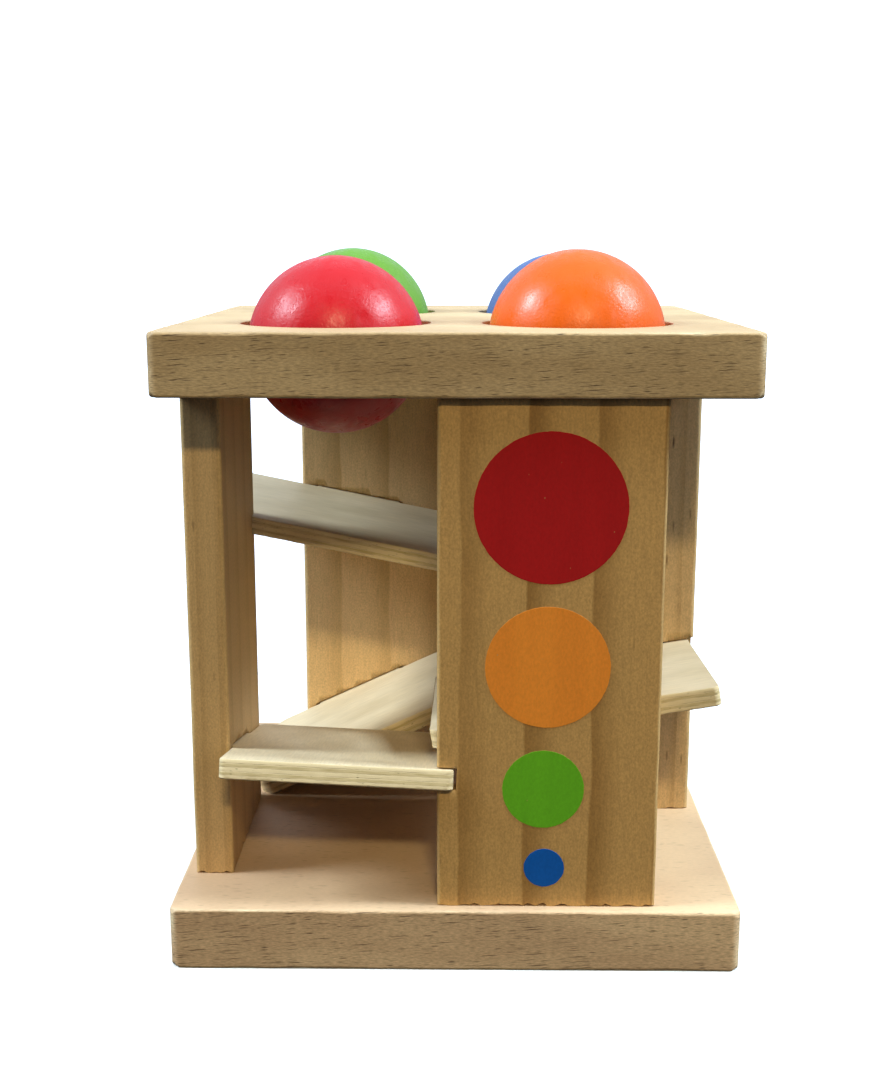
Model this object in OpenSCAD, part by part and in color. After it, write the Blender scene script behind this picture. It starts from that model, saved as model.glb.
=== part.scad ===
// Pounding ball tower, a wooden toy. Four balls sit in the holes of a square top board, each held
// by a rubber ring. A pounded ball drops on to the ramp below it, runs down from ramp to ramp
// around the tower and leaves over the exit ramp on the left side.
// Millimetres. +Z is up, the front faces -Y, and the origin is the middle of the base's underside.
// Panels and ramps repeat in quarter turns, counted from the front: 0 front, 1 right, 2 back, 3 left.

/* [Boards] */
// Side of the square base board and top board
board_w = 201.5; // [190:0.5:240]
// Thickness of the base board
base_t = 22.5; // [16:0.5:30]
// Thickness of the top board
top_t = 21.5; // [19:0.5:30]
// Radius of the boards' upright corners
board_corner_r = 3; // [2:0.5:8]
// Radius of the boards' long edges
board_edge_r = 1; // [0.5:0.1:1.5]

/* [Panels] */
// Width of a side panel
panel_w = 77; // [70:1:85]
// Height of a side panel, between the two boards
panel_h = 180; // [170:1:220]
// Thickness of a side panel
panel_t = 14; // [12:0.5:18]
// Distance from a panel's outer face to the edge of the boards
panel_inset = 4.5; // [1:0.5:8]
// How far a panel's leading edge passes the middle of the tower
panel_lead = 6.25; // [4:0.25:10]
// Radius of a panel's upright edges
panel_edge_r = 1.2; // [0.4:0.1:3]

/* [Balls and holes] */
// Diameter of a ball
ball_d = 64; // [56:0.5:66]
// Distance between the middles of neighbouring holes
hole_spacing = 87; // [84:0.5:92]
// Gap between a ball and the wall of its hole
hole_gap = 2.25; // [1:0.25:3]
// Radius of the rounded rim at the top of a hole
hole_rim_r = 0.5; // [0.25:0.25:3]

/* [Grip rings] */
// Diameter of the rubber cord that a grip ring is made of
ring_cord_d = 6; // [5:0.25:8]
// How far a ring has to give all round to let its ball through
ring_grip = 0.75; // [0.4:0.05:1.2]
// Heights of the front left, front right, back left and back right ring above the top board's underside
ring_height = [6, 8.2, 8.2, 6.3]; // [5:0.1:10]

/* [Ramps] */
// Thickness of the ramps' plywood
ramp_t = 7.2; // [5:0.1:9]
// Heights of the front, right, back and left ramp's outer ends above the base board
ramp_height = [53.2, 74.7, 100.4, 125.7]; // [50:0.1:140]
// Slope of the same ramps, in degrees
ramp_slope = [12.6, 9.5, 10.5, 11.5]; // [8:0.1:14]
// Lean of the same ramps towards the middle of the tower, in degrees
ramp_cant = [2.7, 3.2, 1.8, 1.8]; // [0:0.1:4]
// How far the outer ends of the same ramps stand out past the panels
ramp_overhang = [1.7, -2.6, 0, 0]; // [-3:0.1:2]
// Radius of the two corners at a ramp's inner end
ramp_inner_r = 3.5; // [2:0.5:12]
// Radius of the two corners at a ramp's outer end
ramp_outer_r = 2.5; // [1:0.5:5]
// Gap between a dropping ball and the inner end of the ramp beside it
run_gap = 2.7; // [2:0.1:6]

/* [Exit ramp] */
// Slope of the exit ramp, in degrees
exit_slope = 24.9; // [18:0.1:28]
// Lean of the exit ramp towards the middle of the tower, in degrees
exit_cant = 1.2; // [0:0.1:1.5]
// Length of the exit ramp along its slope
exit_len = 105; // [90:1:110]
// Distance from the exit ramp's low end to the edge of the base board
exit_inset = 15.5; // [8:0.5:20]
// Radius of the two corners at the exit ramp's low end
exit_corner_r = 7; // [2:0.5:12]
// Depth of the flat planed under the exit ramp where it stands on the base board
exit_flat = 1.2; // [0.6:0.1:2]

/* [Slots and notches] */
// Depth of the slots routed into the panels' inner faces
slot_depth = 4; // [2:0.5:4.5]
// Distance from the end of a panel to its slot
slot_start = 3; // [2:0.5:8]
// Length of a slot
slot_len = 45; // [30:1:54]
// Depth of the notches cut into the panels' leading edges
notch_depth = 7; // [4:0.5:9]
// Play above a ramp in its slot and notch
slot_play = 0.5; // [0.1:0.1:1]
// Play at the end of a ramp's tongue in its slot
tongue_play = 0.3; // [0.2:0.1:1]
// Play beside a ramp in its notch and past a dowel's or screw's end
side_play = 1; // [0.5:0.1:2]
// Gap between a ramp's straight side and the panel beside it
side_gap = 0.4; // [0.2:0.1:1]

/* [Dowels and screws] */
// Diameter of the dowels between the panels and the top board
dowel_d = 8; // [6:0.5:9]
// Length of a dowel
dowel_len = 30; // [20:1:34]
// Length of a dowel that is inside its panel
dowel_in_panel = 16; // [10:1:18]
// Distance between the two dowels, and between the two screws, of a panel
fixing_spacing = 48; // [30:1:56]
// Diameter of a screw's shank
screw_d = 4; // [3:0.5:5]
// Diameter of a screw's countersunk head
screw_head_d = 8; // [7:0.5:10]
// Length of a screw
screw_len = 45; // [36:1:50]
// Depth of a screw head below the underside of the base board
screw_recess = 1; // [0.5:0.25:2]
// Radial gap around dowels, screws and rings
fit_gap = 0.05; // [0.02:0.01:0.1]

/* [Painted dots] */
// Diameters of a panel's red, orange, green and blue dot
dot_d = [52, 43, 28.5, 14.3]; // [5:0.1:60]
// Heights of the same dots' middles above the base board
dot_z = [143, 87.8, 43.8, 14.6]; // [5:0.1:160]
// Distances of the same dots' middles from the middle line of the panel
dot_x = [-0.3, -0.6, -1.6, -0.9]; // [-3:0.1:3]
// Thickness of the printed paint
dot_t = 0.15; // [0.1:0.05:0.3]

/* [Hidden] */
$fn = 96;

FRONT = 0;
RIGHT = 1;
BACK = 2;
LEFT = 3;
FRONT_LEFT = 0;
FRONT_RIGHT = 1;
BACK_LEFT = 2;
BACK_RIGHT = 3;
CORNERS = [[-1, -1], [1, -1], [-1, 1], [1, 1]];

// How far a cutting shape reaches past what it cuts
past = board_w / 10;

// Distances from the middle of the tower, and heights
panel_out = board_w / 2 - panel_inset;
panel_in = panel_out - panel_t;
panel_end = panel_w - panel_lead;
panel_mid = panel_end - panel_w / 2;
panel_depth = panel_out - panel_t / 2;
top_z = base_t + panel_h;

// Balls, holes and rings. A ball rests on its ring, fit_gap clear of it.
ball_r = ball_d / 2;
hole_r = ball_r + hole_gap;
hole_off = hole_spacing / 2;
ring_cord_r = ring_cord_d / 2;
ring_r = ball_r - ring_grip + ring_cord_r;
ball_lift = sqrt(pow(ball_r + ring_cord_r + fit_gap, 2) - pow(ring_r, 2));

// Ramps, in the front gap: the slot side is on the left panel, the notch side in the front panel
ramp_slot_x = -panel_in + side_gap;
ramp_notch_x = -panel_lead + notch_depth - side_play;
ramp_w = ramp_notch_x - ramp_slot_x;
exit_notch_x = -panel_lead - side_gap;
exit_w = exit_notch_x - ramp_slot_x;
free_reach = hole_off - ball_r - run_gap;
exit_reach = -exit_notch_x - side_play;
exit_out = board_w / 2 - exit_inset;
exit_z = base_t + ramp_t * cos(exit_slope) - exit_flat;
slot_h = ramp_t + slot_play;

screw_head_h = (screw_head_d - screw_d) / 2;
screw_tip_h = 1.5 * screw_d;
screw_tip_r = screw_d / 8;
screw_cross_w = screw_d / 4;
screw_cross_l = 1.2 * screw_d;

function ring_z(corner) = top_z + ring_height[corner];
function ramp_out(k) = panel_out + ramp_overhang[k];
function ramp_z(k) = base_t + ramp_height[k];

// How far a ramp's inner end passes the middle of the tower: clear of the next ball's drop, and
// on the front ramp also clear of the exit ramp behind it
function ramp_reach(k) = k == FRONT ? min(free_reach, exit_reach) : free_reach;
function ramp_len(k) = (ramp_out(k) + ramp_reach(k)) / cos(ramp_slope[k]);

// Shared shapes

module rounded_rect(size, r) {
    square([size.x - 2 * r, size.y], center = true);
    square([size.x, size.y - 2 * r], center = true);
    for (sx = [-1, 1], sy = [-1, 1])
        translate([sx * (size.x / 2 - r), sy * (size.y / 2 - r)]) circle(r);
}

// A square board standing on z = 0, with round upright corners and eased long edges
module board(t) {
    straight = board_w - 2 * board_corner_r;
    for (turn = [0, 90])
        rotate([0, 0, turn])
            rotate([90, 0, 90])
                translate([0, t / 2, -straight / 2])
                    linear_extrude(straight) rounded_rect([board_w, t], board_edge_r);
    for (sx = [-1, 1], sy = [-1, 1])
        translate([sx * straight / 2, sy * straight / 2, 0])
            rotate_extrude() board_corner_profile(t);
}

module board_corner_profile(t) {
    inner = board_corner_r - board_edge_r;
    square([inner, t]);
    translate([0, board_edge_r]) square([board_corner_r, t - 2 * board_edge_r]);
    for (z = [board_edge_r, t - board_edge_r])
        translate([inner, z]) circle(board_edge_r);
}

// The places of a panel's two screws or dowels, in the panel of quarter turn k
module at_fixings(k) {
    for (side = [-1, 1])
        rotate([0, 0, 90 * k])
            translate([panel_mid + side * fixing_spacing / 2, -panel_depth, 0])
                children();
}

module at_all_fixings() {
    for (k = [FRONT : LEFT]) at_fixings(k) children();
}

// The place of a hole, from the corner that it is nearest to
module at_hole(corner) {
    translate([CORNERS[corner].x * hole_off, CORNERS[corner].y * hole_off, 0]) children();
}

// Ramp frames: x across the ramp from its middle, y down its length from the outer end, and
// z = 0 on the surface that the balls run on

module ramp_frame(k) {
    rotate([0, 0, 90 * k])
        translate([(ramp_slot_x + ramp_notch_x) / 2, -ramp_out(k), ramp_z(k)])
            rotate([-ramp_slope[k], 0, 0])
                rotate([0, ramp_cant[k], 0])
                    children();
}

module exit_frame() {
    rotate([0, 0, 90 * LEFT])
        translate([(ramp_slot_x + exit_notch_x) / 2, -exit_out, exit_z])
            rotate([exit_slope, 0, 0])
                rotate([0, exit_cant, 0])
                    children();
}

// Distance down a ramp to a distance in front of the tower's middle, and to the ends of its slot
function ramp_y(out, dist, slope) = (out - dist) / cos(slope);
function slot_ends(out, slope) = [for (dist = [slot_start, slot_start + slot_len])
    ramp_y(out, panel_end - dist, slope)];
function ramp_slot_y(k) = slot_ends(ramp_out(k), ramp_slope[k]);
function exit_slot_y() = slot_ends(exit_out, exit_slope);

// A ramp with a tongue that fills the straight part of its slot
module ramp_board(w, len, outer_r, inner_r, slot_y) {
    tongue_from = slot_y[0] + slot_h / 2;
    tongue_to = slot_y[1] - slot_h / 2;
    translate([0, 0, -ramp_t])
        linear_extrude(ramp_t) {
            ramp_outline(w, len, outer_r, inner_r);
            translate([-w / 2 - slot_depth - side_gap + tongue_play, tongue_from])
                square([slot_depth + side_gap - tongue_play + inner_r, tongue_to - tongue_from]);
        }
}

module ramp_outline(w, len, outer_r, inner_r) {
    translate([-w / 2, outer_r]) square([w, len - outer_r - inner_r]);
    translate([-w / 2 + outer_r, 0]) square([w - 2 * outer_r, len]);
    translate([-w / 2 + inner_r, outer_r]) square([w - 2 * inner_r, len - outer_r]);
    for (side = [-1, 1]) {
        translate([side * (w / 2 - outer_r), outer_r]) circle(outer_r);
        translate([side * (w / 2 - inner_r), len - inner_r]) circle(inner_r);
    }
}

// A slot with round ends. The ramp's tongue lies on its lower face.
module slot_cut(w, slot_y) {
    straight_from = slot_y[0] + slot_h / 2;
    straight_to = slot_y[1] - slot_h / 2;
    translate([-w / 2 - slot_depth - side_gap, 0, 0])
        rotate([90, 0, 90])
            linear_extrude(slot_depth + past) {
                translate([straight_from, -ramp_t]) square([straight_to - straight_from, slot_h]);
                for (y = [straight_from, straight_to])
                    translate([y, -ramp_t + slot_h / 2]) circle(d = slot_h);
            }
}

module ramp_slot(k) {
    ramp_frame(k) slot_cut(ramp_w, ramp_slot_y(k));
}

module exit_slot() {
    exit_frame() slot_cut(exit_w, exit_slot_y());
}

// A notch across the thickness of a panel's leading edge. The ramp lies on its lower face.
module ramp_notch(k) {
    depth = notch_depth + past;
    ramp_frame(k)
        translate([ramp_w / 2 + side_play - depth, -past, -ramp_t])
            cube([depth, panel_t + 2 * past, slot_h]);
}

// Boards

module base_board() {
    color("burlywood")
        difference() {
            board(base_t);
            at_all_fixings() screw_hole(base_t + past);
        }
}

module top_board() {
    color("burlywood")
        difference() {
            translate([0, 0, top_z]) board(top_t);
            for (corner = [FRONT_LEFT : BACK_RIGHT])
                at_hole(corner) ball_hole(ring_z(corner));
            at_all_fixings() dowel_hole();
        }
}

// A hole for a ball, with a rounded rim at the top and a groove for its ring
module ball_hole(groove_z) {
    translate([0, 0, top_z - past]) cylinder(r = hole_r, h = top_t + 2 * past);
    translate([0, 0, top_z + top_t - hole_rim_r])
        rotate_extrude()
            difference() {
                square([hole_r + hole_rim_r, hole_rim_r + past]);
                translate([hole_r + hole_rim_r, 0]) circle(hole_rim_r);
            }
    translate([0, 0, groove_z])
        rotate_extrude() translate([ring_r, 0]) circle(ring_cord_r + fit_gap);
}

// Panels

module panel(k) {
    color("tan")
        difference() {
            rotate([0, 0, 90 * k])
                translate([panel_mid, -panel_depth, base_t])
                    linear_extrude(panel_h) rounded_rect([panel_w, panel_t], panel_edge_r);
            ramp_notch(k);
            ramp_slot((k + 1) % 4);
            if (k == BACK) exit_slot();
            at_fixings(k) {
                screw_hole(screw_recess + screw_len + side_play);
                dowel_hole();
            }
        }
}

// Ramps

module ramp(k) {
    color("wheat")
        ramp_frame(k)
            ramp_board(ramp_w, ramp_len(k), ramp_outer_r, ramp_inner_r, ramp_slot_y(k));
}

module exit_ramp() {
    color("wheat")
        difference() {
            exit_frame()
                ramp_board(exit_w, exit_len, exit_corner_r, ramp_outer_r, exit_slot_y());
            translate([-board_w / 2, -board_w / 2, 0]) cube([board_w, board_w, base_t]);
        }
}

// Balls and grip rings

module ball(corner, paint) {
    color(paint) at_hole(corner) translate([0, 0, ring_z(corner) + ball_lift]) sphere(ball_r);
}

module grip_ring(corner) {
    color("dimgray")
        at_hole(corner)
            translate([0, 0, ring_z(corner)])
                rotate_extrude() translate([ring_r, 0]) circle(ring_cord_r);
}

// Screws and dowels

// A clearance hole for a screw up to the height top, with the countersink of its head
module screw_hole(top) {
    translate([0, 0, -past]) cylinder(d = screw_d + 2 * fit_gap, h = top + past);
    translate([0, 0, -past]) cylinder(d = screw_head_d, h = screw_recess + past);
    translate([0, 0, screw_recess])
        cylinder(d1 = screw_head_d, d2 = screw_d, h = screw_head_h);
}

module base_screws() {
    color("silver") at_all_fixings() translate([0, 0, screw_recess]) screw();
}

module screw() {
    difference() {
        union() {
            cylinder(d1 = screw_head_d, d2 = screw_d, h = screw_head_h);
            cylinder(d = screw_d, h = screw_len - screw_tip_h);
            translate([0, 0, screw_len - screw_tip_h])
                cylinder(d1 = screw_d, r2 = screw_tip_r, h = screw_tip_h);
        }
        for (turn = [0, 90])
            rotate([0, 0, turn])
                translate([-screw_cross_l / 2, -screw_cross_w / 2, -past])
                    cube([screw_cross_l, screw_cross_w, past + screw_head_h / 2]);
    }
}

// A blind hole in a panel's top end and in the top board above it
module dowel_hole() {
    translate([0, 0, top_z - dowel_in_panel])
        cylinder(d = dowel_d + 2 * fit_gap, h = dowel_len + side_play);
}

module top_dowels() {
    color("burlywood")
        at_all_fixings()
            translate([0, 0, top_z - dowel_in_panel]) cylinder(d = dowel_d, h = dowel_len);
}

// Painted dots: one of each colour on every panel's outer face

module dots(i, paint) {
    color(paint)
        for (k = [FRONT : LEFT])
            rotate([0, 0, 90 * k])
                translate([panel_mid + dot_x[i], -panel_out, base_t + dot_z[i]])
                    rotate([90, 0, 0]) cylinder(d = dot_d[i], h = dot_t);
}

base_board();
top_board();
panel(FRONT);  // front_panel
panel(RIGHT);  // right_panel
panel(BACK);  // back_panel
panel(LEFT);  // left_panel
ramp(FRONT);  // front_ramp
ramp(RIGHT);  // right_ramp
ramp(BACK);  // back_ramp
ramp(LEFT);  // left_ramp
exit_ramp();
grip_ring(FRONT_LEFT);  // front_left_grip_ring
grip_ring(FRONT_RIGHT);  // front_right_grip_ring
grip_ring(BACK_LEFT);  // back_left_grip_ring
grip_ring(BACK_RIGHT);  // back_right_grip_ring
ball(FRONT_LEFT, "crimson");  // red_ball
ball(FRONT_RIGHT, "darkorange");  // orange_ball
ball(BACK_LEFT, "limegreen");  // green_ball
ball(BACK_RIGHT, "royalblue");  // blue_ball
base_screws();
top_dowels();
dots(0, "firebrick");  // red_dots
dots(1, "darkorange");  // orange_dots
dots(2, "forestgreen");  // green_dots
dots(3, "steelblue");  // blue_dots
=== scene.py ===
# The looks of a pounding ball tower: sanded beech boards, pine panels, plywood ramps, lacquered balls
# in rubber grip rings, and screen-printed dots. Metres, +Z up, the front faces -Y.
import math
import random
from functools import partial

import bmesh
import bpy
from mathutils import Matrix, Vector, noise


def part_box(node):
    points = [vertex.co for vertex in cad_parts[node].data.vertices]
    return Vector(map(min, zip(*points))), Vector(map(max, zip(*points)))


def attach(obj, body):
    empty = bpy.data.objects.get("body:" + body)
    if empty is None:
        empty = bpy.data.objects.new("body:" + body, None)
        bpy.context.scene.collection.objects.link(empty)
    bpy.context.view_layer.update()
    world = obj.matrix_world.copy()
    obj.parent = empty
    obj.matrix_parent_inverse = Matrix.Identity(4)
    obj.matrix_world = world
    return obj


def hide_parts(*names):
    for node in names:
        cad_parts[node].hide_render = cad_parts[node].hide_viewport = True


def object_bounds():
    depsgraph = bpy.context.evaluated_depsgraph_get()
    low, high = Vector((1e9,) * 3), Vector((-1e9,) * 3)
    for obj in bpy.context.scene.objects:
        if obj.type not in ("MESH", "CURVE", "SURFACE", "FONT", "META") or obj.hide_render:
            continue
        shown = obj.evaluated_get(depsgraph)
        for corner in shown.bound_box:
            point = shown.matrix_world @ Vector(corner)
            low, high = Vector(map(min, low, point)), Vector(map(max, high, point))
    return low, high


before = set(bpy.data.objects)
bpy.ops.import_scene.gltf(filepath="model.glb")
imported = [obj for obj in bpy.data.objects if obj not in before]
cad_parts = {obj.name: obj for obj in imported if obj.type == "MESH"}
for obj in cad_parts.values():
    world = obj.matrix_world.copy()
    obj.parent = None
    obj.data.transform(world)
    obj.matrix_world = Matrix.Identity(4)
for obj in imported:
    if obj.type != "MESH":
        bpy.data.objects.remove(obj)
cad_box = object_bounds()

MM = 0.001
X, Y, Z = Vector((1, 0, 0)), Vector((0, 1, 0)), Vector((0, 0, 1))
SIDES = ["front", "right", "back", "left"]  # in quarter turns from the front
COLOURS = ["red", "orange", "green", "blue"]
HAIR = 0.02 * MM  # how far a dressed face lies inside its solid
WELD = 0.001 * MM  # corners of a solid that are nearer than this are one corner
QUARTER_STEPS = 6  # steps round a quarter of a rounded edge or corner
PLIES = 5
BOARD_W = cad_box[1].x - cad_box[0].x
PANEL_FACE = -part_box("front_panel")[0].y  # from the tower's middle to a panel's outer face

random.seed(7)


# Material helpers

def linear(hex_colour):
    """An sRGB hex colour as linear RGBA."""
    parts = [int(hex_colour[i:i + 2], 16) / 255 for i in (1, 3, 5)]
    return (*[c / 12.92 if c <= 0.04045 else ((c + 0.055) / 1.055) ** 2.4 for c in parts], 1)


def feed(made, links):
    """Feeds a node. Each entry of links is an input, and the value, socket or node that feeds it."""
    for name, value in links.items():
        if isinstance(value, bpy.types.Node):
            value = value.outputs[0]
        if isinstance(value, bpy.types.NodeSocket):
            made.id_data.links.new(value, made.inputs[name])
        else:
            made.inputs[name].default_value = value


def node(tree, kind, links=None, **settings):
    """Adds a node with its settings, and feeds it."""
    made = tree.nodes.new(kind)
    for name, value in settings.items():
        setattr(made, name, value)
    feed(made, links or {})
    return made


def new_material(name):
    """A node material: the material, its shader, and the function that adds nodes to it."""
    material = bpy.data.materials.new(name)
    material.use_nodes = True
    tree = material.node_tree
    return material, tree.nodes["Principled BSDF"], partial(node, tree)


def grain(add, place, sizes, detail=2):
    """Smooth noise with features of these sizes along x, y and z, in millimetres."""
    scaled = add("ShaderNodeMapping", {"Vector": place, "Scale": [1 / (s * MM) for s in sizes]})
    return add("ShaderNodeTexNoise", {"Vector": scaled, "Scale": 1, "Detail": detail})


def dashes(add, place, sizes, share):
    """Lens-shaped marks, this far apart along x, y and z in millimetres, of which this share shows."""
    scaled = add("ShaderNodeMapping", {"Vector": place, "Scale": [1 / (s * MM) for s in sizes]})
    cells = add("ShaderNodeTexVoronoi", {"Vector": scaled, "Scale": 1})
    mark = add("ShaderNodeMapRange", {"Value": cells, "From Min": 0.12, "From Max": 0.32,
                                      "To Min": 1, "To Max": 0})
    lot = add("ShaderNodeSeparateColor", {0: cells.outputs["Color"]})
    shown = add("ShaderNodeMapRange", {"Value": lot, "From Min": 1 - share, "From Max": 1})
    return add("ShaderNodeMath", {0: mark, 1: shown}, operation="MULTIPLY")


def worn_edges(add, coords):
    """1 on rounded edges, 0 on flat faces."""
    size = add("ShaderNodeVectorMath", {0: coords.outputs["Normal"]}, operation="ABSOLUTE")
    parts = add("ShaderNodeSeparateXYZ", {0: size})
    larger = add("ShaderNodeMath", {0: parts.outputs[0], 1: parts.outputs[1]}, operation="MAXIMUM")
    largest = add("ShaderNodeMath", {0: larger, 1: parts.outputs[2]}, operation="MAXIMUM")
    return add("ShaderNodeMapRange", {"Value": largest, "From Min": 0.99, "From Max": 0.8})


# Materials

def planed_beech(board, pale, brown, browner_end):
    """Beech, planed and sanded, with a thin satin lacquer: even tan wood with the short dark dashes of its
    rays along the grain, which runs along X. They show on the boards' sides and hardly on their faces.
    The faces are painted a little whiter, a painted sheen of light. Some edges are paler where hands have
    rubbed them. browner_end is how much browner the left end is."""
    material, shader, add = new_material(f"planed_beech_{board}")
    coords = add("ShaderNodeTexCoord")
    place = coords.outputs["Object"]
    facing = add("ShaderNodeSeparateXYZ", {0: coords.outputs["Normal"]})
    flat = add("ShaderNodeMath", {0: facing.outputs[2]}, operation="ABSOLUTE")
    shown = add("ShaderNodeMapRange", {"Value": flat, "From Min": 0.5, "From Max": 0.9, "To Min": 1,
                                       "To Max": 0.2})
    mottle = add("ShaderNodeMapRange", {"Value": grain(add, place, (60, 40, 14), 5),
                                        "From Min": 0.32, "From Max": 0.68})
    apart = add("ShaderNodeSeparateXYZ", {0: place})
    browner = add("ShaderNodeMath", {0: apart.outputs[0], 1: -browner_end / BOARD_W, 2: mottle},
                  operation="MULTIPLY_ADD", use_clamp=True)
    wood = add("ShaderNodeMix", {0: browner, 6: linear(pale), 7: linear(brown)}, data_type="RGBA")
    # painted sheen: the flat faces, top and bottom, are painted a little whiter to stand in for the light
    # on them
    painted_sheen = add("ShaderNodeMapRange", {"Value": flat, "From Min": 0.5, "From Max": 0.9, "To Max": 0.035})
    with_painted_sheen = add("ShaderNodeMix", {0: painted_sheen, 6: wood.outputs[2], 7: linear("#FFFFFF")}, data_type="RGBA")
    # rays, from long to short, that rise a little along the board
    bend = grain(add, place, (6, 6, 4))
    bent = add("ShaderNodeVectorMath", {0: bend.outputs["Color"], 1: (0.45 * MM,) * 3, 2: place},
               operation="MULTIPLY_ADD")
    risen = add("ShaderNodeMapping", {"Vector": bent, "Rotation": (0, 0.07, 0)})
    longer = add("ShaderNodeMath", {0: dashes(add, risen, (15, 2.2, 0.66), 0.6),
                                    1: dashes(add, risen, (8, 2, 0.55), 0.5)}, operation="MAXIMUM")
    rays = add("ShaderNodeMath", {0: longer, 1: dashes(add, risen, (5.5, 2, 0.6), 0.5)},
               operation="MAXIMUM")
    deep = add("ShaderNodeMath", {0: rays, 1: shown}, operation="MULTIPLY")
    flecked = add("ShaderNodeMix", {0: deep, 6: with_painted_sheen.outputs[2], 7: linear("#3F2A17")}, data_type="RGBA")
    rub = add("ShaderNodeMapRange", {"Value": grain(add, place, (30, 30, 12), 4), "From Min": 0.5,
                                     "From Max": 0.75})
    rubbed = add("ShaderNodeMath", {0: worn_edges(add, coords), 1: rub}, operation="MULTIPLY")
    worn = add("ShaderNodeMix", {0: rubbed, 6: flecked.outputs[2], 7: linear("#E2CBA4")},
               data_type="RGBA")
    # pores, drawn at three times their width so that they show
    pores = grain(add, place, (1.8, 0.8, 0.45), 5)
    tone = add("ShaderNodeMapRange", {"Value": pores, "From Min": 0.25, "From Max": 0.75, "To Min": -0.3,
                                      "To Max": 0.3})
    shade = add("ShaderNodeMath", {0: tone, 1: shown, 2: 1}, operation="MULTIPLY_ADD")
    toned = add("ShaderNodeVectorMath", {0: worn.outputs[2], 1: shade}, operation="MULTIPLY")
    height = add("ShaderNodeMath", {0: rays, 1: -0.5, 2: pores}, operation="MULTIPLY_ADD")
    sheen = add("ShaderNodeMapRange", {"Value": pores, "To Min": 0.52, "To Max": 0.7})
    feed(shader, {
        "Base Color": toned, "Roughness": sheen,
        "Normal": add("ShaderNodeBump", {"Height": height, "Strength": 0.35, "Distance": 0.15 * MM})})
    return material


def planed_pine(side, first_ring, contrast, pale, late):
    """Flat-sawn pine, planed and lacquered: honey tan, with growth rings that each start at a sharp dark
    line and fade out, straight up the panel. first_ring is where a ring line crosses the panel's outer
    face, in millimetres from the tower's middle."""
    material, shader, add = new_material(f"planed_pine_{side}")
    coords = add("ShaderNodeTexCoord")
    place = coords.outputs["Object"]
    ring_gap = 22.6
    ring_lean = 3.2  # how far a ring goes sideways for its way through the panel
    wander = grain(add, place, (40, 40, 60), 3)
    apart = add("ShaderNodeSeparateXYZ", {0: place})
    depth = add("ShaderNodeMath", {0: apart.outputs[1], 1: PANEL_FACE}, operation="ADD")
    lean = add("ShaderNodeMath", {0: depth, 1: ring_lean, 2: apart.outputs[0]}, operation="MULTIPLY_ADD")
    along = add("ShaderNodeMath", {0: lean, 1: 1 / (ring_gap * MM), 2: -first_ring / ring_gap - 0.1},
                operation="MULTIPLY_ADD")
    wavy = add("ShaderNodeMath", {0: wander, 1: 0.2, 2: along}, operation="MULTIPLY_ADD")
    # fibres, drawn at three times their width so that they show, fray the ring lines
    fibres = grain(add, place, (0.7, 0.7, 7), 5)
    frayed = add("ShaderNodeMath", {0: fibres, 1: 0.04, 2: wavy}, operation="MULTIPLY_ADD")
    ring = add("ShaderNodeMath", {0: frayed}, operation="FRACT")
    fade = add("ShaderNodeMapRange", {"Value": ring, "From Min": 0.02, "From Max": 0.55, "To Min": 1,
                                      "To Max": 0}, interpolation_type="SMOOTHSTEP")
    start = add("ShaderNodeMapRange", {"Value": ring, "From Min": 0, "From Max": 0.035})
    strength = add("ShaderNodeMapRange", {"Value": grain(add, place, (18, 18, 90), 2), "From Min": 0.3,
                                          "From Max": 0.7, "To Min": 0.45 * contrast, "To Max": contrast})
    late_wood = add("ShaderNodeMath", {0: fade, 1: start}, operation="MULTIPLY")
    band = add("ShaderNodeMath", {0: late_wood, 1: strength}, operation="MULTIPLY")
    wood = add("ShaderNodeMix", {0: band, 6: linear(pale), 7: linear(late)}, data_type="RGBA")
    # resin ducts, which the panel's narrow edges cut along
    facing = add("ShaderNodeSeparateXYZ", {0: coords.outputs["Normal"]})
    edge_on = add("ShaderNodeMath", {0: facing.outputs[0]}, operation="ABSOLUTE")
    cut_open = add("ShaderNodeMapRange", {"Value": edge_on, "To Min": 0.2, "To Max": 0.9})
    ducts = add("ShaderNodeMath", {0: dashes(add, place, (1.6, 2, 11), 0.3), 1: cut_open},
                operation="MULTIPLY")
    flecked = add("ShaderNodeMix", {0: ducts, 6: wood.outputs[2], 7: linear("#5F4122")},
                  data_type="RGBA")
    rubbed = add("ShaderNodeMath", {0: worn_edges(add, coords), 1: grain(add, place, (9, 9, 25), 3)},
                 operation="MULTIPLY")
    worn = add("ShaderNodeMix", {0: rubbed, 6: flecked.outputs[2], 7: linear("#CFAE76")},
               data_type="RGBA")
    tone = add("ShaderNodeMapRange", {"Value": fibres, "From Min": 0.25, "From Max": 0.75, "To Min": 0.92,
                                      "To Max": 1.07})
    speckle = add("ShaderNodeMapRange", {"Value": grain(add, place, (0.6, 0.6, 0.9), 3), "From Min": 0.25,
                                         "From Max": 0.75, "To Min": 0.81, "To Max": 1.19})
    shade = add("ShaderNodeMath", {0: tone, 1: speckle}, operation="MULTIPLY")
    toned = add("ShaderNodeVectorMath", {0: worn.outputs[2], 1: shade}, operation="MULTIPLY")
    sheen = add("ShaderNodeMapRange", {"Value": fibres, "To Min": 0.55, "To Max": 0.7})
    feed(shader, {
        "Base Color": toned, "Roughness": sheen,
        "Normal": add("ShaderNodeBump", {"Height": fibres, "Strength": 0.2, "Distance": 0.12 * MM})})
    return material


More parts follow.
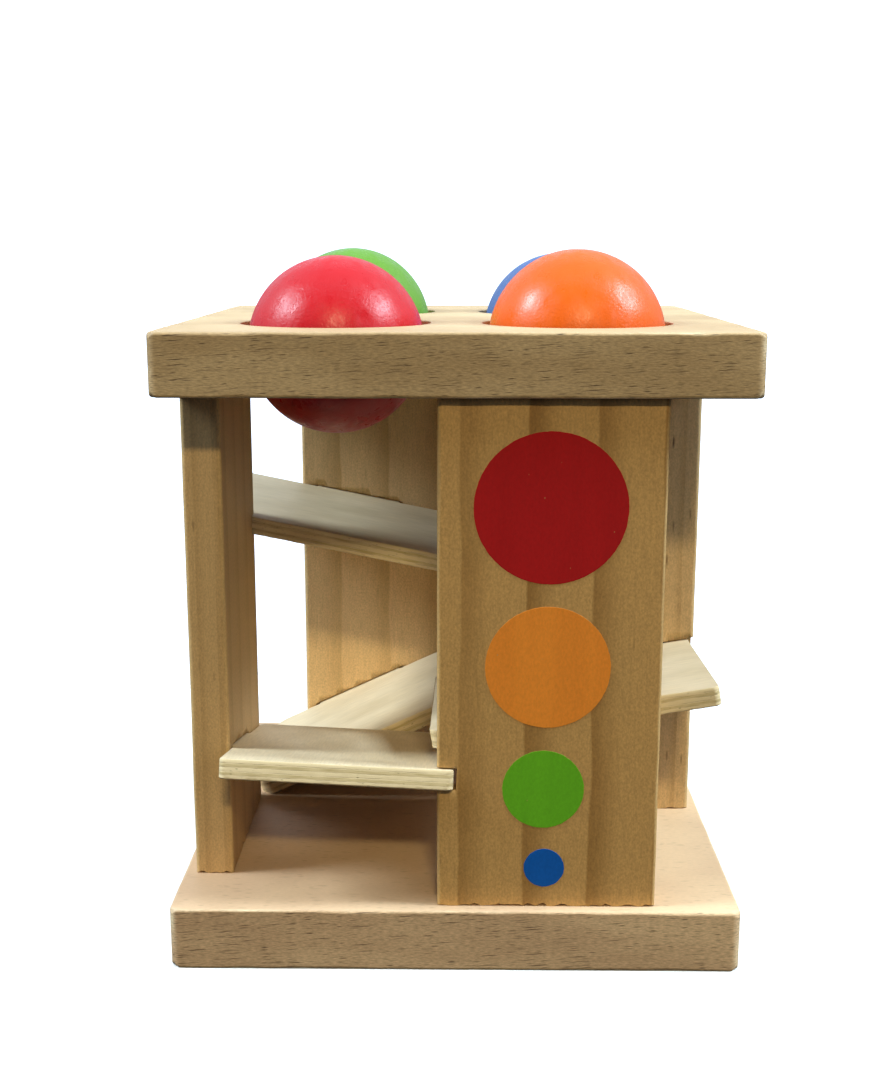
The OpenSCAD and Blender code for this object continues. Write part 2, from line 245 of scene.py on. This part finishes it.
def sawn_plywood(thick):
    """Poplar plywood, sanded on its faces and sawn at its edges: cream, blotchy faces with faint grain
    along the ramp, pale outer plies, and a core of greyer, open-pored plies between broken glue lines."""
    material, shader, add = new_material("sawn_plywood")
    coords = add("ShaderNodeTexCoord")
    place = coords.outputs["Object"]
    flow = add("ShaderNodeMapRange", {"Value": grain(add, place, (5, 40, 5), 4), "From Min": 0.3,
                                      "From Max": 0.7})
    # the face's blotches, and its vessels, drawn at three times their width so that they show
    blotch = add("ShaderNodeMapRange", {"Value": grain(add, place, (16, 34, 16), 4), "From Min": 0.3,
                                        "From Max": 0.7})
    vessels = add("ShaderNodeMapRange", {"Value": grain(add, place, (0.7, 9, 0.7), 4), "From Min": 0.25,
                                         "From Max": 0.75, "To Min": 0.9, "To Max": 1.1})
    veneer = add("ShaderNodeMix", {0: blotch, 6: linear("#E0CCA9"), 7: linear("#CEB892")}, data_type="RGBA")
    face = add("ShaderNodeVectorMath", {0: veneer.outputs[2], 1: vessels}, operation="MULTIPLY")
    # count of plies from the middle of the thickness
    apart = add("ShaderNodeSeparateXYZ", {0: place})
    count = add("ShaderNodeMath", {0: apart.outputs[2], 1: PLIES / thick, 2: PLIES / 2},
                operation="MULTIPLY_ADD")
    off_middle = add("ShaderNodeMath", {0: count}, operation="ABSOLUTE")
    # the two plies that lie across the others show their open pores
    from_cross = add("ShaderNodeMath", {0: off_middle, 1: 1, 2: 0.35}, operation="COMPARE")
    streaks = add("ShaderNodeMapRange", {"Value": grain(add, place, (7, 7, 0.6), 4), "From Min": 0.35,
                                         "From Max": 0.65})
    open_pored = add("ShaderNodeMix", {0: streaks, 6: linear("#D6C092"), 7: linear("#BFA877")},
                     data_type="RGBA")
    edge = add("ShaderNodeMix", {0: from_cross, 6: linear("#E3CDA1"), 7: open_pored.outputs[2]},
               data_type="RGBA")
    inside = add("ShaderNodeMath", {0: off_middle, 1: PLIES / 2 - 0.15}, operation="LESS_THAN")
    sawn = add("ShaderNodeMix", {0: inside, 6: face, 7: edge.outputs[2]}, data_type="RGBA")
    # glue lines, and the dark specks of torn pores
    wavy = add("ShaderNodeMath", {0: grain(add, place, (6, 6, 6)), 1: 0.3, 2: count},
               operation="MULTIPLY_ADD")
    to_line = add("ShaderNodeMath", {0: add("ShaderNodeMath", {0: wavy, 1: 0.35}, operation="ADD"),
                                     1: 0.5}, operation="PINGPONG")
    line = add("ShaderNodeMapRange", {"Value": to_line, "From Min": 0.03, "From Max": 0.1, "To Min": 0.55,
                                      "To Max": 0})
    gaps = add("ShaderNodeMapRange", {"Value": grain(add, place, (6, 6, 2), 4), "From Min": 0.42,
                                      "From Max": 0.6})
    broken = add("ShaderNodeMath", {0: line, 1: gaps}, operation="MULTIPLY")
    specks = add("ShaderNodeMath", {0: dashes(add, place, (2, 2, 0.9), 0.2), 1: 0.7},
                 operation="MULTIPLY")
    marks = add("ShaderNodeMath", {0: broken, 1: specks}, operation="MAXIMUM")
    torn = add("ShaderNodeMath", {0: marks, 1: inside}, operation="MULTIPLY")
    marked = add("ShaderNodeMix", {0: torn, 6: sawn.outputs[2], 7: linear("#7A6440")},
                 data_type="RGBA")
    rough = add("ShaderNodeMapRange", {"Value": inside, "To Min": 0.6, "To Max": 0.85})
    height = add("ShaderNodeMath", {0: torn, 1: -1, 2: flow}, operation="MULTIPLY_ADD")
    feed(shader, {
        "Base Color": marked.outputs[2], "Roughness": rough,
        "Normal": add("ShaderNodeBump", {"Height": height, "Strength": 0.3, "Distance": 0.2 * MM})})
    return material


def gloss_lacquer(colour, paint, deep):
    """Lacquer sprayed on a turned wooden ball: saturated colour with a shine that orange peel, scuffs and
    rubbed patches break up."""
    material, shader, add = new_material(f"gloss_lacquer_{colour}")
    place = add("ShaderNodeTexCoord").outputs["Object"]
    cloud = grain(add, place, (14, 14, 14), 4)
    mixed = add("ShaderNodeMix", {0: cloud, 6: linear(paint), 7: linear(deep)}, data_type="RGBA")
    patches = grain(add, place, (4, 4, 7), 5)
    rub = add("ShaderNodeMapRange", {"Value": patches, "From Min": 0.35, "From Max": 0.65, "To Min": 0.25,
                                     "To Max": 0.45})
    scuffs = dashes(add, place, (5, 5, 2.2), 0.3)
    peel = grain(add, place, (1, 1, 1), 3)
    swell = add("ShaderNodeMath", {0: patches, 1: 1.6, 2: peel}, operation="MULTIPLY_ADD")
    height = add("ShaderNodeMath", {0: scuffs, 1: -0.6, 2: swell}, operation="MULTIPLY_ADD")
    feed(shader, {
        "Base Color": mixed.outputs[2], "Roughness": rub, "Specular IOR Level": 0.3,
        "Normal": add("ShaderNodeBump", {"Height": height, "Strength": 0.5, "Distance": 0.18 * MM})})
    return material


def printed_paint(colour, paint, deep):
    """Screen-printed paint soaked into pine: flat, nearly matt colour, darker over the wood's rings, with
    pinholes where the wood shows."""
    material, shader, add = new_material(f"printed_paint_{colour}")
    place = add("ShaderNodeTexCoord").outputs["Object"]
    rings = grain(add, place, (9, 9, 120), 2)
    mixed = add("ShaderNodeMix", {0: rings, 6: linear(paint), 7: linear(deep)}, data_type="RGBA")
    pinholes = dashes(add, place, (0.9, 0.9, 1.3), 0.006)
    worn = add("ShaderNodeMix", {0: pinholes, 6: mixed.outputs[2], 7: linear("#C6A069")},
               data_type="RGBA")
    fibres = grain(add, place, (0.7, 0.7, 7), 5)
    tone = add("ShaderNodeMapRange", {"Value": grain(add, place, (0.7, 0.7, 1.2), 4), "From Min": 0.25,
                                      "From Max": 0.75, "To Min": 0.91, "To Max": 1.09})
    toned = add("ShaderNodeVectorMath", {0: worn.outputs[2], 1: tone}, operation="MULTIPLY")
    sheen = add("ShaderNodeMapRange", {"Value": fibres, "To Min": 0.7, "To Max": 0.85})
    feed(shader, {
        "Base Color": toned, "Roughness": sheen, "Specular IOR Level": 0.25,
        "Normal": add("ShaderNodeBump", {"Height": fibres, "Strength": 0.3, "Distance": 0.1 * MM})})
    return material


def moulded_rubber():
    """Moulded black rubber: matt, with a dusty bloom and the polish of passing balls."""
    material, shader, add = new_material("moulded_rubber")
    place = add("ShaderNodeTexCoord").outputs["Object"]
    bloom = grain(add, place, (3, 3, 3), 4)
    mixed = add("ShaderNodeMix", {0: bloom, 6: linear("#191716"), 7: linear("#3A3632")},
                data_type="RGBA")
    polish = add("ShaderNodeMapRange", {"Value": bloom, "To Min": 0.55, "To Max": 0.85})
    feed(shader, {
        "Base Color": mixed.outputs[2], "Roughness": polish,
        "Normal": add("ShaderNodeBump", {"Height": bloom, "Strength": 0.3, "Distance": 0.2 * MM})})
    return material


def zinc_plated_steel():
    """Zinc-plated steel, as it comes from the barrel: bright grey, with duller patches and fine knocks."""
    material, shader, add = new_material("zinc_plated_steel")
    place = add("ShaderNodeTexCoord").outputs["Object"]
    patches = grain(add, place, (1.5, 1.5, 1.5), 4)
    mixed = add("ShaderNodeMix", {0: patches, 6: linear("#D2D3D0"), 7: linear("#A9ABA8")},
                data_type="RGBA")
    dull = add("ShaderNodeMapRange", {"Value": patches, "To Min": 0.25, "To Max": 0.5})
    feed(shader, {
        "Base Color": mixed.outputs[2], "Metallic": 1, "Roughness": dull,
        "Normal": add("ShaderNodeBump", {"Height": patches, "Strength": 0.2, "Distance": 0.1 * MM})})
    return material


# Mesh helpers

def finish_piece(piece, material, slot, body, *replaced):
    """Gives a piece its material, its place in the frame and the solids that it stands for."""
    piece.data.materials.clear()
    piece.data.materials.append(material)
    piece.data.shade_smooth()
    piece.data.set_sharp_from_angle(angle=math.radians(35))
    even = piece.modifiers.new("flat faces shade flat", "WEIGHTED_NORMAL")
    even.keep_sharp = True
    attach(piece, body)
    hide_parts(*replaced)


def new_piece(name, bm, place=Matrix.Identity(4)):
    """A new object from a bmesh, at its place."""
    bmesh.ops.recalc_face_normals(bm, faces=bm.faces)
    mesh = bpy.data.meshes.new(name)
    bm.to_mesh(mesh)
    bm.free()
    piece = bpy.data.objects.new(name, mesh)
    piece.matrix_world = place
    bpy.context.scene.collection.objects.link(piece)
    return piece


def loft(rings):
    """A closed skin over rings of points, with a flat face over the first ring and the last."""
    bm = bmesh.new()
    rows = [[bm.verts.new(p) for p in ring] for ring in rings]
    for low, high in zip(rows, rows[1:]):
        for i in range(len(low)):
            bm.faces.new((low[i - 1], low[i], high[i], high[i - 1]))
    bm.faces.new(rows[0])
    bm.faces.new(rows[-1])
    return bm


def outline(half_x, half_y, radii, step):
    """Points round a rectangle with round corners, each with the direction that it faces."""
    corners = [(1, 1), (-1, 1), (-1, -1), (1, -1)]
    halves = [half_x, half_y]
    ring = []
    for turn, (sx, sy) in enumerate(corners):
        r = radii[turn]
        centre = Vector((sx * (half_x - r), sy * (half_y - r), 0))
        for i in range(QUARTER_STEPS + 1):
            angle = math.radians(90 * turn + 90 * i / QUARTER_STEPS)
            facing = Vector((math.cos(angle), math.sin(angle), 0))
            ring.append((centre + r * facing, facing))
        end, facing = ring[-1]
        along = Z.cross(facing)
        half = halves[turn % 2]
        length = half - radii[(turn + 1) % 4] - end.dot(along)
        count = round(2 * half / step)
        ring += [(end + along * (length * i / count), facing) for i in range(1, count)]
    return ring


def uneven(point, length, low, high, seed):
    """A value from low to high that wanders smoothly over this length from point to point."""
    swing = 0.75  # enough for the value to reach both its ends
    far_off = seed * 9.7 * X
    share = 0.5 + swing * noise.noise(point / length + far_off)
    return low + (high - low) * min(1, max(0, share))


def welded_solid(name):
    """A closed copy of a solid of the frame."""
    bm = bmesh.new()
    bm.from_mesh(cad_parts[name].data)
    bmesh.ops.remove_doubles(bm, verts=bm.verts, dist=WELD)
    return bm


def keep_cuts(piece, name):
    """Cuts the piece to its solid, which has the holes, notches and slots."""
    solid = new_piece("cutter", welded_solid(name))
    cut = piece.modifiers.new("cuts", "BOOLEAN")
    cut.operation, cut.object, cut.solver = "INTERSECT", solid, "EXACT"
    bpy.context.view_layer.update()
    shaped = bpy.data.meshes.new_from_object(piece.evaluated_get(bpy.context.evaluated_depsgraph_get()))
    piece.modifiers.clear()
    piece.data = shaped
    bpy.data.objects.remove(solid)


# Boards

def sanded_board(name, material):
    """A board whose long edges were rounded by hand, a little more here and a little less there, and most
    at its corners."""
    point_gap = 3 * MM
    corner_r = 3.2 * MM
    least_edge_r = 0.7 * MM
    most_edge_r = 1.5 * MM
    edge_wander = 12 * MM
    extra_r_at_corners = 5 * MM
    low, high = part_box(name)
    half = (high.x - low.x) / 2 - HAIR
    ring = outline(half, half, [corner_r] * 4, point_gap)
    rings = []
    for top in (False, True):
        z, sign = (high.z - HAIR, 1) if top else (low.z + HAIR, -1)
        for i in range(QUARTER_STEPS + 1):
            angle = math.radians(90 * (QUARTER_STEPS - i if top else i) / QUARTER_STEPS)
            level = []
            for point, facing in ring:
                r = uneven(point + z * Z, edge_wander, least_edge_r, most_edge_r, top)
                r += extra_r_at_corners * (1 - max(abs(facing.x), abs(facing.y)))
                inset = r * (1 - math.sin(angle))
                drop = r * (1 - math.cos(angle))
                level.append(point - inset * facing + (z - sign * drop) * Z)
            rings.append(level)
    piece = new_piece(f"{name}_sanded", loft(rings))
    keep_cuts(piece, name)
    finish_piece(piece, material, "beech", "tower", name)


# Panels

def eased_panel(turn, material):
    """A panel whose upright edges were eased by hand and whose sawn foot is chipped, in the front panel's
    place and then turned."""
    name = f"{SIDES[turn]}_panel"
    low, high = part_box("front_panel")
    middle = (low + high) / 2
    half_x, half_y = (high.x - low.x) / 2 - HAIR, (high.y - low.y) / 2 - HAIR
    levels = 46
    point_gap = 1.5 * MM
    least_edge_r = 1.2 * MM
    most_edge_r = 1.9 * MM
    edge_wander = 18 * MM
    least_chip = -0.9 * MM  # where it is below 0 the foot is whole
    most_chip = 1.6 * MM
    chip_wander = 3 * MM
    chip_reach = 3.5 * MM  # how far in from its edges the foot is chipped
    whole_foot = Matrix.Diagonal((1 - chip_reach / half_x, 1 - chip_reach / half_y, 1))
    rings = []
    for i in range(levels):
        z = low.z + HAIR + (high.z - low.z - 2 * HAIR) * i / (levels - 1)
        radii = [uneven(z * Z, edge_wander, least_edge_r, most_edge_r, 4 * turn + c) for c in range(4)]
        centre = Vector((middle.x, middle.y, z))
        level = [point for point, _ in outline(half_x, half_y, radii, point_gap)]
        if i == 0:
            rings.append([centre + whole_foot @ point for point in level])
            level = [point + max(0, uneven(point, chip_wander, least_chip, most_chip, turn)) * Z
                     for point in level]
        rings.append([centre + point for point in level])
    piece = new_piece(f"{name}_planed", loft(rings), Matrix.Rotation(math.radians(90 * turn), 4, "Z"))
    keep_cuts(piece, name)
    finish_piece(piece, material, "pine", "tower", name)


# Ramps

def ramp_frame(name, turn):
    """A ramp's own frame: x across it, y down it, and z = 0 on the face that the balls run on. Also the
    outline of that face in this frame, in order, and the ramp's thickness."""
    bm = welded_solid(name)
    up = sum((f.normal * f.calc_area() for f in bm.faces if f.normal.z > 0.5), Vector()).normalized()
    face = [f for f in bm.faces if f.normal.dot(up) > 0.999]
    across = Matrix.Rotation(math.radians(90 * turn), 3, "Z") @ X
    across = (across - across.dot(up) * up).normalized()
    place = Matrix((across, up.cross(across), up)).transposed().to_4x4()
    place.translation = face[0].verts[0].co
    inside = set(face)
    rim = [e for e in bm.edges if sum(f in inside for f in e.link_faces) == 1]
    nearby = {}
    for e in rim:
        a, b = e.verts
        nearby.setdefault(a, []).append(b)
        nearby.setdefault(b, []).append(a)
    start = rim[0].verts[0]
    walk, last, here = [start], start, nearby[start][0]
    while here is not start:
        walk.append(here)
        last, here = here, next(v for v in nearby[here] if v is not last)
    back = place.inverted()
    points = [back @ v.co for v in walk]
    thick = -min((back @ v.co).z for v in bm.verts)
    bm.free()
    if sum(a.x * b.y - b.x * a.y for a, b in zip(points, points[1:] + points[:1])) < 0:
        points.reverse()
    return place, points, thick


def resampled(points, step):
    """Points a step apart round a closed outline that keeps its corners, each with its outward side."""
    ring = []
    for a, b in zip(points, points[1:] + points[:1]):
        count = max(1, round((b - a).length / step))
        facing = (b - a).normalized().cross(Z)
        ring += [(a.lerp(b, i / count), facing) for i in range(count)]
    return ring


def plywood_ramp(name, turn, material, floor=None):
    """A ramp sawn from five plies, with a fine groove at each glue line and frayed edges. With a floor,
    the ramp is planed flat where it stands on it."""
    point_gap = 1.2 * MM
    fray_wander = 1.8 * MM
    groove_w, groove_depth, groove_fray = 0.24, 0.04, 0.06
    place, points, thick = ramp_frame(name, turn)
    ring = resampled(points, point_gap)
    bottom = thick / MM
    # depth below the ramp's face, inset of the sawn edge, and how far the saw frayed it, in millimetres
    levels = [(0, 0.45, 0.2), (0.15, 0.15, 0.15), (0.5, 0, 0.1)]
    for i in range(1, PLIES):
        line = i * bottom / PLIES
        levels += [(line - groove_w / 2, 0, groove_fray), (line, groove_depth, groove_fray),
                   (line + groove_w / 2, 0, groove_fray)]
    levels += [(bottom - 0.5, 0, 0.15), (bottom - 0.15, 0.15, 0.5), (bottom, 0.4, 0.7)]
    rings = []
    for depth, inset, fray in levels:
        level = []
        for point, facing in ring:
            sunk = point - depth * MM * Z
            frayed = uneven(sunk, fray_wander, 0, fray * MM, turn)
            level.append(sunk - facing * (inset * MM + frayed))
        rings.append(level)
    bm = loft(rings)
    if floor is not None:
        back = place.inverted()
        whole = bm.verts[:] + bm.edges[:] + bm.faces[:]
        cut = bmesh.ops.bisect_plane(bm, geom=whole, plane_co=back @ (floor * Z),
                                     plane_no=back.to_3x3() @ Z, clear_inner=True)["geom_cut"]
        bmesh.ops.edgenet_fill(bm, edges=[e for e in cut if isinstance(e, bmesh.types.BMEdge)])
    piece = new_piece(f"{name}_plywood", bm, place)
    finish_piece(piece, material, "plywood", "tower", name)


# Balls

def turned_ball(colour, material):
    """A turned ball, slightly out of round, with the small dents of pounding."""
    dent_count = 40
    least_out_of_round = 0.02 * MM
    most_out_of_round = 0.16 * MM
    swell = 24 * MM  # how far it is from one high place to the next
    name = f"{colour}_ball"
    low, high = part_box(name)
    radius = (high.z - low.z) / 2
    bm = bmesh.new()
    bmesh.ops.create_icosphere(bm, subdivisions=6, radius=radius)
    # each dent's direction from the middle, its reach and its depth
    dents = [(Vector([random.gauss(0, 1) for _ in range(3)]).normalized(),
              random.uniform(1.5, 3.5) * MM, random.uniform(0.04, 0.16) * MM) for _ in range(dent_count)]
    for v in bm.verts:
        direction = v.co.normalized()
        sink = uneven(v.co, swell, least_out_of_round, most_out_of_round, COLOURS.index(colour))
        for middle, reach, depth in dents:
            away = (direction - middle).length * radius / reach
            if away < 1:
                sink += depth * (1 - away * away) ** 2
        v.co = direction * (radius - sink)
    piece = new_piece(f"{name}_turned", bm, Matrix.Translation((low + high) / 2))
    finish_piece(piece, material, f"{colour}_lacquer", name, name)


# Dots

def printed_dots(colour, material):
    """The four dots of one colour, one on each panel, with a slightly ragged edge."""
    count = 180
    most_ragged = 0.15 * MM
    rag_wander = 1.5 * MM
    # inset of the paint's edge, and its height above the panel, in millimetres
    paint_edge = [(0, -0.05), (0, 0.06), (0.1, 0.1)]
    name = f"{colour}_dots"
    front = [v.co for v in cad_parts[name].data.vertices if v.co.y < HAIR - PANEL_FACE]
    xs, zs = [p.x for p in front], [p.z for p in front]
    middle = Vector(((min(xs) + max(xs)) / 2, -PANEL_FACE, (min(zs) + max(zs)) / 2))
    radius = (max(xs) - min(xs)) / 2
    bm = bmesh.new()
    for turn in range(4):
        spin = Matrix.Rotation(math.radians(90 * turn), 3, "Z")
        rows = []
        for inset, out in paint_edge:
            row = []
            for i in range(count):
                angle = math.tau * i / count
                ray = Vector((math.cos(angle), 0, math.sin(angle)))
                ragged = uneven(middle + radius * ray, rag_wander, 0, most_ragged, turn)
                edge = middle + (radius - inset * MM - ragged) * ray - out * MM * Y
                row.append(bm.verts.new(spin @ edge))
            rows.append(row)
        for low, high in zip(rows, rows[1:]):
            for i in range(count):
                bm.faces.new((low[i - 1], low[i], high[i], high[i - 1]))
        bm.faces.new(rows[0])
        bm.faces.new(rows[-1])
    piece = new_piece(f"{name}_printed", bm)
    finish_piece(piece, material, f"{colour}_print", "tower", name)


# The pieces

# the top board's beech is painted darker than the base's: painted shade, as the base gets more bounce light
# from below
base_beech = planed_beech("base", "#D8B68C", "#C19D77", 0.8)
top_beech = planed_beech("top", "#BD9F73", "#A5865B", 0)
sanded_board("base_board", base_beech)
sanded_board("top_board", top_beech)

# where the first ring shows, how strong the rings are, and the colours of early and late wood.
# The colours are partly painted light: the back panel is painted palest and the right panel paler for the
# light that falls on them, and the front panel is painted more golden for its warm light.
PINES_WITH_PAINTED_LIGHT = [(1.7, 1, "#C29658", "#956A31"), (12, 0.5, "#CEAA77", "#A07944"),
         (8, 0.6, "#E4BE87", "#AD844B"), (15, 0.4, "#C6A06B", "#98713D")]
for turn, (side, pine) in enumerate(zip(SIDES, PINES_WITH_PAINTED_LIGHT)):
    eased_panel(turn, planed_pine(side, *pine))

ramp_thick = ramp_frame("front_ramp", SIDES.index("front"))[2]
plywood = sawn_plywood(ramp_thick)
for turn, side in enumerate(SIDES):
    plywood_ramp(f"{side}_ramp", turn, plywood)
plywood_ramp("exit_ramp", SIDES.index("left"), plywood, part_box("base_board")[1].z)

# the lighter and the darker shade of each colour
LACQUERS = [("#BE1F25", "#B0161D"), ("#DC6018", "#D05410"), ("#62922B", "#568522"), ("#456399", "#3B578A")]
PRINTS = [("#BA1518", "#A60F12"), ("#F99734", "#E6862B"), ("#6CBC20", "#5DA61A"), ("#0460BE", "#0352A6")]
for colour, lacquer, ink in zip(COLOURS, LACQUERS, PRINTS):
    turned_ball(colour, gloss_lacquer(colour, *lacquer))
    printed_dots(colour, printed_paint(colour, *ink))

# these solids keep their shape
rubber = moulded_rubber()
bare = {"base_screws": zinc_plated_steel(), "top_dowels": top_beech}
for end in ("front", "back"):
    for side in ("left", "right"):
        bare[f"{end}_{side}_grip_ring"] = rubber
for name, material in bare.items():
    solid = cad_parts[name].data
    solid.materials.clear()
    solid.materials.append(material)


# Stage, light and camera

def soft_floor():
    """A plain pale floor that fades away round the tower."""
    floor_r = 1.6
    fade_from = 0.16
    fade_to = 0.34
    bm = bmesh.new()
    bmesh.ops.create_circle(bm, cap_ends=True, segments=96, radius=floor_r)
    floor = new_piece("floor", bm)
    material, shader, add = new_material("matt_white_floor")
    place = add("ShaderNodeTexCoord").outputs["Object"]
    away = add("ShaderNodeVectorMath", {0: place}, operation="LENGTH")
    fade = add("ShaderNodeMapRange", {"Value": away.outputs["Value"], "From Min": fade_from,
                                      "From Max": fade_to, "To Min": 1, "To Max": 0},
               interpolation_type="SMOOTHSTEP")
    feed(shader, {"Base Color": linear("#F4F3F0"), "Roughness": 0.9, "Alpha": fade})
    floor.data.materials.append(material)
    floor.visible_diffuse = False
    floor.visible_glossy = False


def softbox(name, towards, size, watts, colour, along=X, shine=True):
    """A rectangular light in this direction from the middle of the tower, its long side along a line.
    Without shine it is too soft to show in gloss."""
    distance = 3
    towards = Vector(towards).normalized()
    data = bpy.data.lights.new(name, "AREA")
    data.shape = "RECTANGLE"
    data.size, data.size_y = size
    data.energy = watts
    data.color = linear(colour)[:3]
    light = bpy.data.objects.new(name, data)
    long_side = (Vector(along) - Vector(along).dot(towards) * towards).normalized()
    turned = Matrix((long_side, towards.cross(long_side), towards)).transposed().to_4x4()
    turned.translation = (cad_box[0] + cad_box[1]) / 2 + distance * towards
    light.matrix_world = turned
    light.visible_glossy = shine
    bpy.context.scene.collection.objects.link(light)


def studio_world():
    """A white room over a dark table: white to the eye, bright in gloss towards the back, and dim as a
    light."""
    white_to_the_eye = 2
    room_light = 0.085
    table_light = 0.052
    world = bpy.data.worlds.new("studio")
    world.use_nodes = True
    add = partial(node, world.node_tree)
    ray = add("ShaderNodeLightPath")
    towards = add("ShaderNodeSeparateXYZ", {0: add("ShaderNodeTexCoord").outputs["Generated"]})
    above = add("ShaderNodeMapRange", {"Value": towards.outputs[2], "From Min": -0.1, "From Max": 0.3})
    backdrop = add("ShaderNodeMapRange", {"Value": towards.outputs[1], "From Min": -0.3, "From Max": 0.3,
                                          "To Min": 0.04, "To Max": 0.95})
    room = add("ShaderNodeMath", {0: ray.outputs["Is Glossy Ray"], 1: backdrop, 2: room_light},
               operation="MULTIPLY_ADD")
    dim = add("ShaderNodeMath", {0: above, 1: room, 2: table_light}, operation="MULTIPLY_ADD")
    white = add("ShaderNodeMath", {0: ray.outputs["Is Camera Ray"], 1: white_to_the_eye},
                operation="MULTIPLY")
    seen = add("ShaderNodeMath", {0: white, 1: dim}, operation="MAXIMUM")
    feed(world.node_tree.nodes["Background"], {"Color": linear("#DCEBFF"), "Strength": seen})
    bpy.context.scene.world = world


soft_floor()
studio_world()
softbox("left_softbox", (-0.765, -0.08, 0.64), (1.1, 0.8), 113, "#DEF1FF", (-0.35, -0.25, -0.40))
softbox("right_softbox", (0.75, -0.05, 0.66), (1.1, 0.8), 129, "#DEF1FF", (0.35, -0.25, -0.40))
softbox("overhead_softbox", (0, -0.1, 0.995), (3.2, 0.5), 68, "#D8ECFF", shine=False)
softbox("front_softbox", (0.069, -0.808, 0.585), (0.35, 0.16), 34, "#FFEFBE")
softbox("low_right_softbox", (0.6, -0.75, 0.28), (0.8, 0.8), 5, "#E4F0FF", shine=False)
softbox("back_softbox", (-0.15, 0.9, 0.4), (1.2, 0.8), 22, "#EEF4FF", shine=False)

# The camera stands a little over half a metre in front and looks down. It takes 882 x 1089 pixels.
IMAGE_HEIGHT = 1089
FOCAL_PIXELS = 1428.4
CAMERA_PLACE = Vector((1.0, -564.8, 252.2)) * MM
LOOK_DOWN = math.radians(11.93)
LOOK_LEFT = 0.0125  # radians, as the roll is
ROLL = 0.0006
lens = bpy.data.cameras.new("camera")
lens.lens = lens.sensor_width * FOCAL_PIXELS / IMAGE_HEIGHT
camera = bpy.data.objects.new("camera", lens)
camera.matrix_world = (
    Matrix.Translation(CAMERA_PLACE) @ Matrix.Rotation(LOOK_LEFT, 4, "Z")
    @ Matrix.Rotation(math.radians(90) - LOOK_DOWN, 4, "X") @ Matrix.Rotation(ROLL, 4, "Z"))
bpy.context.scene.collection.objects.link(camera)
bpy.context.scene.camera = camera
bpy.context.scene.view_settings.view_transform = "Standard"
